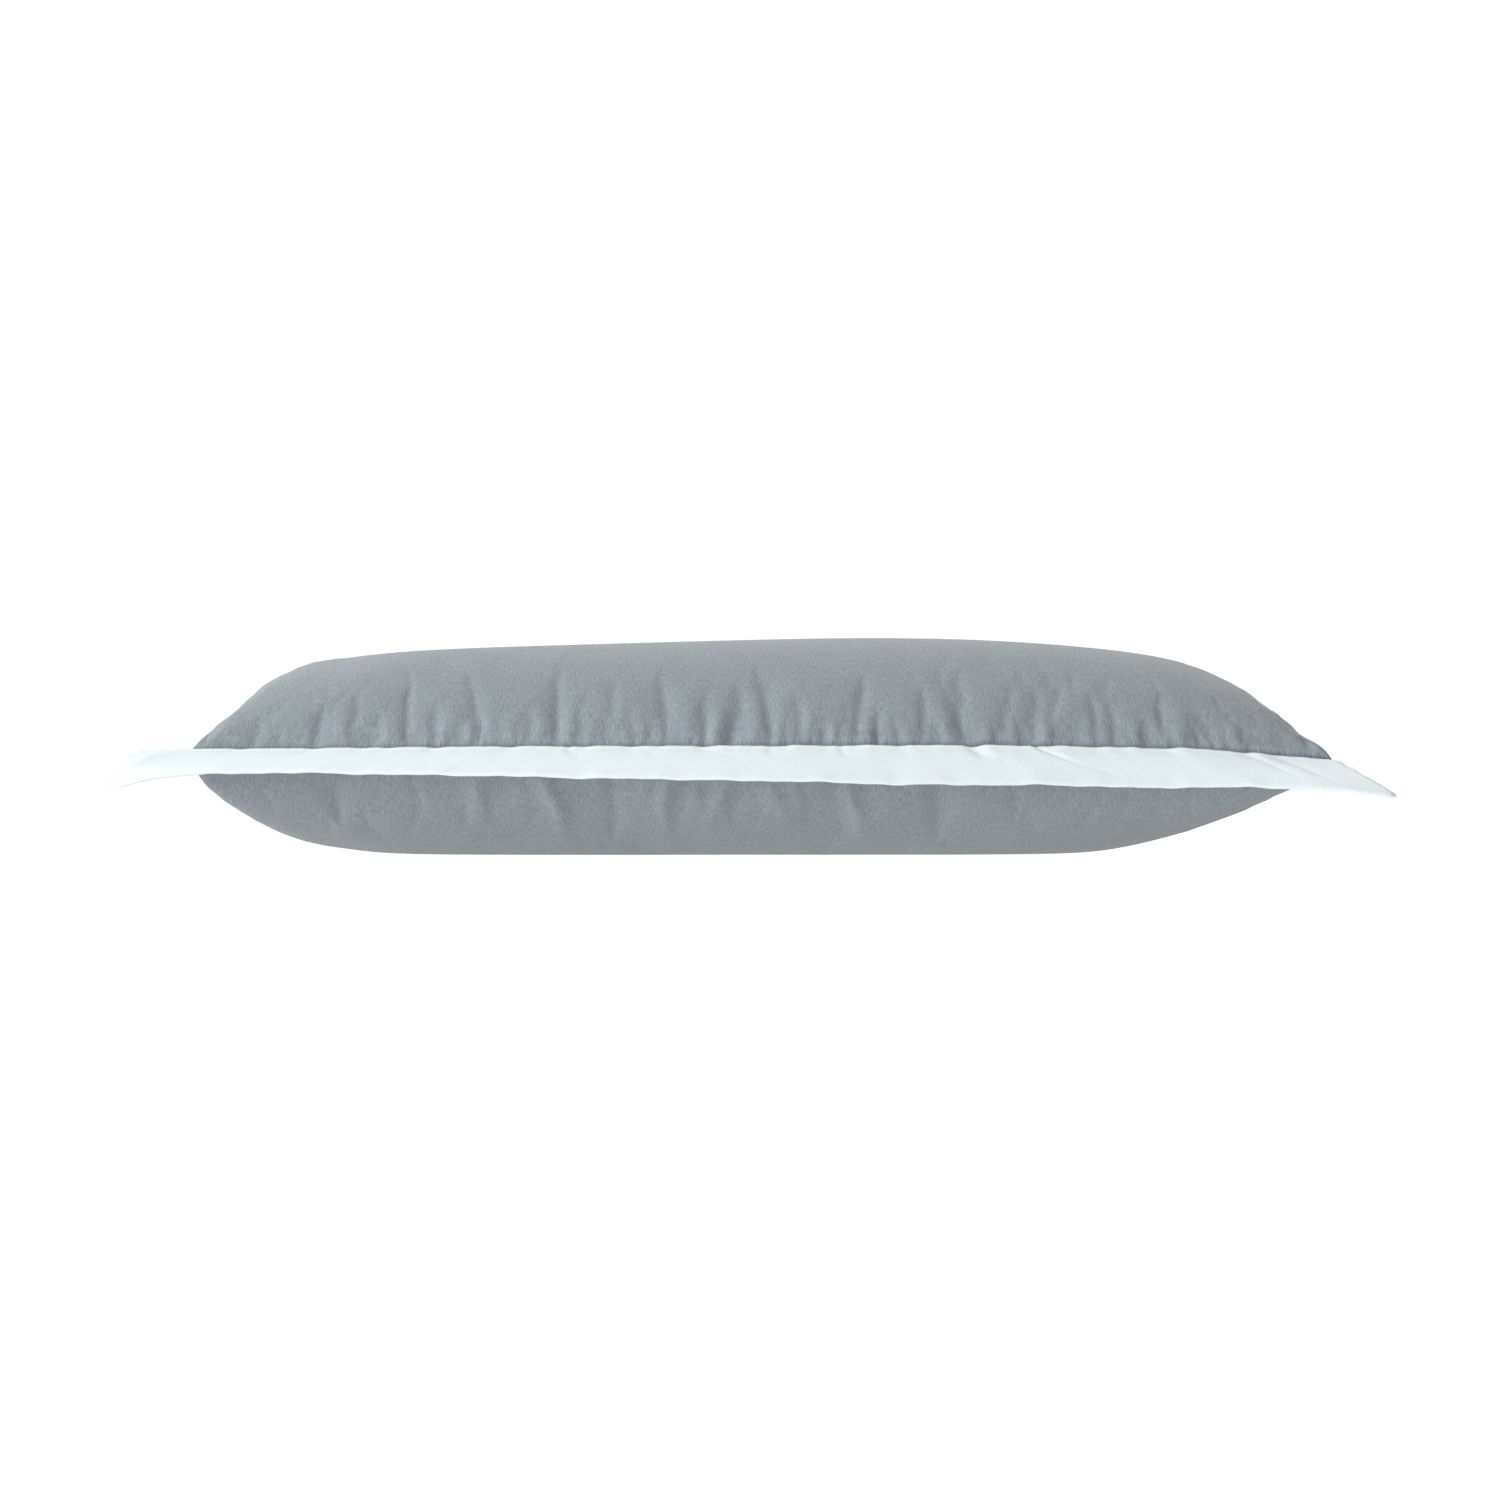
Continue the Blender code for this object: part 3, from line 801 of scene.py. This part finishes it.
def build_flange(material):
    """The four strips, mitred at the corners."""
    front = (long_end(FRONT_LEFT), long_end(FRONT_RIGHT))
    back = (long_end(BACK_LEFT), long_end(BACK_RIGHT))
    left = (short_end(FRONT_LEFT), short_end(BACK_LEFT))
    right = (short_end(FRONT_RIGHT), short_end(BACK_RIGHT))
    strips = (
        ("front", long_strip_point, -1, FRONT_SIDE, front, LONG_COLUMNS, FLANGE_LONG, BODY_LENGTH / 2),
        ("back", long_strip_point, 1, BACK_SIDE, back, LONG_COLUMNS, FLANGE_LONG, BODY_LENGTH / 2),
        ("left", short_strip_point, -1, LEFT_SIDE, left, SHORT_COLUMNS, FLANGE_SHORT, BODY_DEPTH / 2),
        ("right", short_strip_point, 1, RIGHT_SIDE, right, SHORT_COLUMNS, FLANGE_SHORT, BODY_DEPTH / 2),
    )
    for number, (name, point, side, stations, ends, columns, length, half_length) in enumerate(strips):
        def place(s, t, point=point, side=side, stations=stations, ends=ends):
            return point(side, stations, ends, s, t)
        creased = name == "front"
        shift = RIPPLE_SHIFT * number
        strip = build_strip("strip_" + name, place, columns, length, half_length, creased, shift, material)
        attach(strip, "root")
        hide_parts("flange_" + name)


# Look of a cloth: colour, how much its slubs, mottle and specks vary it, relief of its threads,
# strength of its puckers, which also turns on the painted shade along the seam, and sheen
Weave = namedtuple("Weave", "red green blue slubs mottle specks bump puckers sheen")
GREY_WEAVE = Weave(0.272, 0.302, 0.325, 0.36, 0.06, 0.55, 0.00004, 1.0, 0.10)
WHITE_WEAVE = Weave(0.822, 0.882, 0.902, 0.02, 0.015, 0.0, 0.00002, 0.0, 0.05)
# Sizes of the streaks, grains, mottle and specks, in metres
WARP_WIDTH = 0.0007
WARP_LENGTH = 0.0034
WEFT_LENGTH = 0.0022
GRAIN = 0.0007
MOTTLE = 0.014
SPECK_CELL = 0.030
SPECK_SIZE = 0.00055
# Painted shade where the cloth dips into the seam: over what length and by what share the colour is darkened
SEAM_SHADE_WIDTH = 0.0022
SEAM_SHADE_SHARE = 0.50
# Sharp little puckers by the long seams: pitch, length, depth and how far they reach in
PUCKER_PITCH = 0.013
PUCKER_LENGTH = 0.090
PUCKER_DEPTH = 0.00045
PUCKER_REACH = 0.034
PUCKER_SHARPNESS = 5.0
PUCKER_PATCH = 0.019     # length over which the puckers come and go along the seam
# Shares of the weft and of the grain in the slubs, next to the warp
WEFT_SHARE = 0.35
GRAIN_SHARE = 0.5
ROUGHNESS = 0.95
SPECULAR = 0.2
SHEEN_ROUGHNESS = 0.6


class Nodes:
    """Short ways to build a material's nodes."""

    def __init__(self, name):
        self.material = bpy.data.materials.new(name)
        self.material.use_nodes = True
        self.tree = self.material.node_tree
        self.shader = self.tree.nodes["Principled BSDF"]
        where = self.tree.nodes.new("ShaderNodeUVMap")
        where.uv_map = "cloth"
        self.place = where.outputs["UV"]

    def new(self, kind, **values):
        """Add a node and set its inputs by name, from a value or another node's output."""
        node = self.tree.nodes.new(kind)
        for name, value in values.items():
            self.set(node.inputs[name.replace("_", " ")], value)
        return node

    def set(self, socket, value):
        """Give a socket a value, or link an output to it."""
        if isinstance(value, bpy.types.NodeSocket):
            self.tree.links.new(value, socket)
        else:
            socket.default_value = value

    def math(self, operation, *values):
        """Add a math node and return its output."""
        node = self.tree.nodes.new("ShaderNodeMath")
        node.operation = operation
        for socket, value in zip(node.inputs, values):
            self.set(socket, value)
        return node.outputs[0]

    def stretched(self, x_length, y_length):
        """Places in the cloth, counted in the two lengths."""
        node = self.new("ShaderNodeMapping", Vector=self.place)
        node.inputs["Scale"].default_value = (1 / x_length, 1 / y_length, 1)
        return node.outputs[0]

    def noise(self, x_length, y_length, detail=1.0):
        """Noise from -1 to 1 whose grains have the two lengths."""
        place = self.stretched(x_length, y_length)
        node = self.new("ShaderNodeTexNoise", Vector=place, Scale=1.0, Detail=detail)
        return self.math("MULTIPLY_ADD", node.outputs[0], 4.0, -2.0)

    def specks(self):
        """1 on a few small dark specks, and 0 elsewhere."""
        cells = self.new("ShaderNodeTexVoronoi", Vector=self.stretched(SPECK_CELL, SPECK_CELL), Scale=1.0)
        parts = self.new("ShaderNodeSeparateColor", Color=cells.outputs["Color"])
        near = self.math("LESS_THAN", cells.outputs["Distance"], SPECK_SIZE / SPECK_CELL)
        chosen = self.math("GREATER_THAN", parts.outputs[0], 0.5)
        return self.math("MULTIPLY", near, chosen)

    def panel_place(self):
        """Place in a panel's own cut, the same for the upper and the lower one."""
        parts = self.new("ShaderNodeSeparateXYZ", Vector=self.place)
        x = self.math("WRAP", parts.outputs[0], BELOW_SHIFT[0] / 2, -BELOW_SHIFT[0] / 2)
        y = self.math("WRAP", parts.outputs[1], BELOW_SHIFT[1] / 2, -BELOW_SHIFT[1] / 2)
        return x, y

    def painted_seam_shade(self):
        """Mask of the painted shade along the seam: 1 on the seam round a panel, and 0 a little inside it.
        """
        x, y = self.panel_place()
        to_short = self.math("SUBTRACT", CUT_LENGTH / 2, self.math("ABSOLUTE", x))
        to_long = self.math("SUBTRACT", CUT_DEPTH / 2, self.math("ABSOLUTE", y))
        share = self.math("DIVIDE", self.math("MINIMUM", to_short, to_long), SEAM_SHADE_WIDTH)
        return self.math("MAXIMUM", self.math("SUBTRACT", 1.0, share), 0.0)

    def puckers(self):
        """Height of sharp little grooves square to the long seams, from -1 in a groove to 0."""
        lengthwise, across = self.panel_place()
        distance = self.math("SUBTRACT", CUT_DEPTH / 2, self.math("ABSOLUTE", across))
        near = self.math("SUBTRACT", 1.0, self.math("DIVIDE", distance, PUCKER_REACH))
        near = self.math("POWER", self.math("MAXIMUM", near, 0.0), 1.5)
        wave = self.math("ABSOLUTE", self.noise(PUCKER_PITCH, PUCKER_LENGTH))
        slack = self.math("DIVIDE", self.math("SUBTRACT", lengthwise, LEFT_CALM), LEFT_BLEND)
        slack = self.math("MINIMUM", self.math("MAXIMUM", slack, LEFT_SHARE), 1.0)
        near = self.math("MULTIPLY", near, slack)
        groove = self.math("MAXIMUM", self.math("SUBTRACT", 1.0, wave), 0.0)
        groove = self.math("POWER", groove, PUCKER_SHARPNESS)
        strength = self.math("MAXIMUM", self.noise(PUCKER_PATCH, 0.2), 0.0)
        height = self.math("MULTIPLY", groove, near)
        return self.math("MULTIPLY", height, self.math("MULTIPLY", strength, -1.0))


def cloth_material(name, weave):
    """A matt plain weave with slubs, on the cloth's own UV map."""
    nodes = Nodes(name)
    warp = nodes.noise(WARP_WIDTH, WARP_LENGTH)
    weft = nodes.noise(WEFT_LENGTH, WARP_WIDTH)
    grain = nodes.noise(GRAIN, GRAIN, 2.0)
    mottle = nodes.noise(MOTTLE, MOTTLE, 3.0)
    slubs = nodes.math("MULTIPLY_ADD", weft, WEFT_SHARE, warp)
    slubs = nodes.math("MULTIPLY_ADD", grain, GRAIN_SHARE, slubs)
    tone = nodes.math("MULTIPLY_ADD", slubs, weave.slubs / 2, 1.0)
    tone = nodes.math("MULTIPLY_ADD", mottle, weave.mottle / 2, tone)
    tone = nodes.math("MULTIPLY_ADD", nodes.specks(), -weave.specks, tone)
    if weave.puckers:
        # Painted shade: the colour is darkened along the seam, where the cloth dips in under the flange
        tone = nodes.math("MULTIPLY_ADD", nodes.painted_seam_shade(), -SEAM_SHADE_SHARE, tone)
    colour = nodes.new("ShaderNodeVectorMath")
    colour.operation = "SCALE"
    colour.inputs[0].default_value = (weave.red, weave.green, weave.blue)
    nodes.set(colour.inputs["Scale"], tone)
    nodes.set(nodes.shader.inputs["Base Color"], colour.outputs[0])
    height = nodes.math("MULTIPLY", slubs, weave.bump)
    if weave.puckers:
        height = nodes.math("MULTIPLY_ADD", nodes.puckers(), PUCKER_DEPTH * weave.puckers, height)
    bump = nodes.new("ShaderNodeBump", Height=height, Strength=1.0, Distance=1.0)
    nodes.set(nodes.shader.inputs["Normal"], bump.outputs[0])
    nodes.shader.inputs["Roughness"].default_value = ROUGHNESS
    nodes.shader.inputs["Specular IOR Level"].default_value = SPECULAR
    nodes.shader.inputs["Sheen Weight"].default_value = weave.sheen
    nodes.shader.inputs["Sheen Roughness"].default_value = SHEEN_ROUGHNESS
    return nodes.material


def build_floor():
    """A plain pale floor that looks white and lights the underside softly."""
    bpy.ops.mesh.primitive_plane_add(size=40, location=(0, 0, 0))
    floor = bpy.context.object
    floor.name = "floor"
    material = bpy.data.materials.new("floor_paint")
    material.use_nodes = True
    tree = material.node_tree
    shader = tree.nodes["Principled BSDF"]
    shader.inputs["Base Color"].default_value = (FLOOR_TONE, FLOOR_TONE, FLOOR_TONE, 1.0)
    shader.inputs["Roughness"].default_value = 1.0
    shader.inputs["Specular IOR Level"].default_value = 0.0
    shader.inputs["Emission Color"].default_value = (1, 1, 1, 1)
    path = tree.nodes.new("ShaderNodeLightPath")
    glow = tree.nodes.new("ShaderNodeMath")
    glow.operation = "MULTIPLY_ADD"
    glow.inputs[1].default_value = FLOOR_LOOK - FLOOR_GLOW
    glow.inputs[2].default_value = FLOOR_GLOW
    tree.links.new(path.outputs["Is Camera Ray"], glow.inputs[0])
    tree.links.new(glow.outputs[0], shader.inputs["Emission Strength"])
    floor.data.materials.append(material)


def build_world():
    """Surroundings that look white and light the part softly."""
    world = bpy.data.worlds.new("studio")
    bpy.context.scene.world = world
    world.use_nodes = True
    tree = world.node_tree
    seen = tree.nodes["Background"]
    seen.inputs["Strength"].default_value = WORLD_LOOK
    soft = tree.nodes.new("ShaderNodeBackground")
    soft.inputs["Color"].default_value = (1.0, 1.0, 1.0, 1)
    soft.inputs["Strength"].default_value = WORLD_LIGHT
    path = tree.nodes.new("ShaderNodeLightPath")
    blend = tree.nodes.new("ShaderNodeMixShader")
    tree.links.new(path.outputs["Is Camera Ray"], blend.inputs[0])
    tree.links.new(soft.outputs[0], blend.inputs[1])
    tree.links.new(seen.outputs[0], blend.inputs[2])
    tree.links.new(blend.outputs[0], tree.nodes["World Output"].inputs["Surface"])
    seen.inputs["Color"].default_value = (1, 1, 1, 1)


# Light that the floor gives by itself, to the eye and to the part, and the share of other light
# that it throws back
FLOOR_LOOK = 1.0
FLOOR_GLOW = 0.73
FLOOR_TONE = 0.15
# Strength of the surroundings to the eye, and to the part
WORLD_LOOK = 1.05
WORLD_LIGHT = 0.14

# Lamps: place, width and height of the face, power in watts and colour
Lamp = namedtuple("Lamp", "name x y z width height power red green blue")
LAMPS = (
    Lamp("side", -2.2, -1.1, 0.9, 1.2, 1.0, 40, 0.93, 0.98, 1.0),
    Lamp("low", -2.1, -1.4, 0.19, 1.5, 0.36, 42, 0.93, 0.98, 1.0),
    Lamp("top", 0.8, 0.1, 2.4, 2.6, 2.6, 29, 1.0, 1.0, 1.0),
    Lamp("back", 0.7, 2.2, 1.5, 1.6, 1.6, 56, 1.0, 1.0, 1.0),
)
LAMP_AIM = 0.05          # height over the middle of the cushion at which they point


def build_lamps():
    """Soft lamps turned to the cushion."""
    for lamp in LAMPS:
        light = bpy.data.lights.new(lamp.name, "AREA")
        light.shape = "RECTANGLE"
        light.size = lamp.width
        light.size_y = lamp.height
        light.energy = lamp.power
        light.color = (lamp.red, lamp.green, lamp.blue)
        holder = bpy.data.objects.new(lamp.name, light)
        holder.location = (lamp.x, lamp.y, lamp.z)
        way = Vector((0, 0, LAMP_AIM)) - holder.location
        holder.rotation_euler = way.to_track_quat("-Z", "Y").to_euler()
        holder.visible_camera = False
        bpy.context.scene.collection.objects.link(holder)


def build_camera():
    """A level camera in front of the long side."""
    data = bpy.data.cameras.new("camera")
    data.sensor_width = SENSOR
    data.lens = SENSOR * CAMERA_DISTANCE / FRAME_WIDTH
    camera = bpy.data.objects.new("camera", data)
    camera.location = (CAMERA_X, -CAMERA_DISTANCE, CAMERA_Z)
    camera.rotation_euler = (math.pi / 2, 0, 0)
    bpy.context.scene.collection.objects.link(camera)
    bpy.context.scene.camera = camera


def build_cushion(material):
    """The filled cover: moved as cloth, rested on the floor and made finer."""
    cover, border, flat = build_panels(material)
    swell_panels(cover, border, flat)
    rest_on_floor(cover)
    subdivide(cover)
    add_fine_folds(cover)
    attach(cover, "root")
    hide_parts("cushion")


bpy.context.scene.view_settings.view_transform = "Standard"
build_camera()
build_floor()
build_world()
build_lamps()
build_cushion(cloth_material("grey_weave", GREY_WEAVE))
build_flange(cloth_material("white_weave", WHITE_WEAVE))
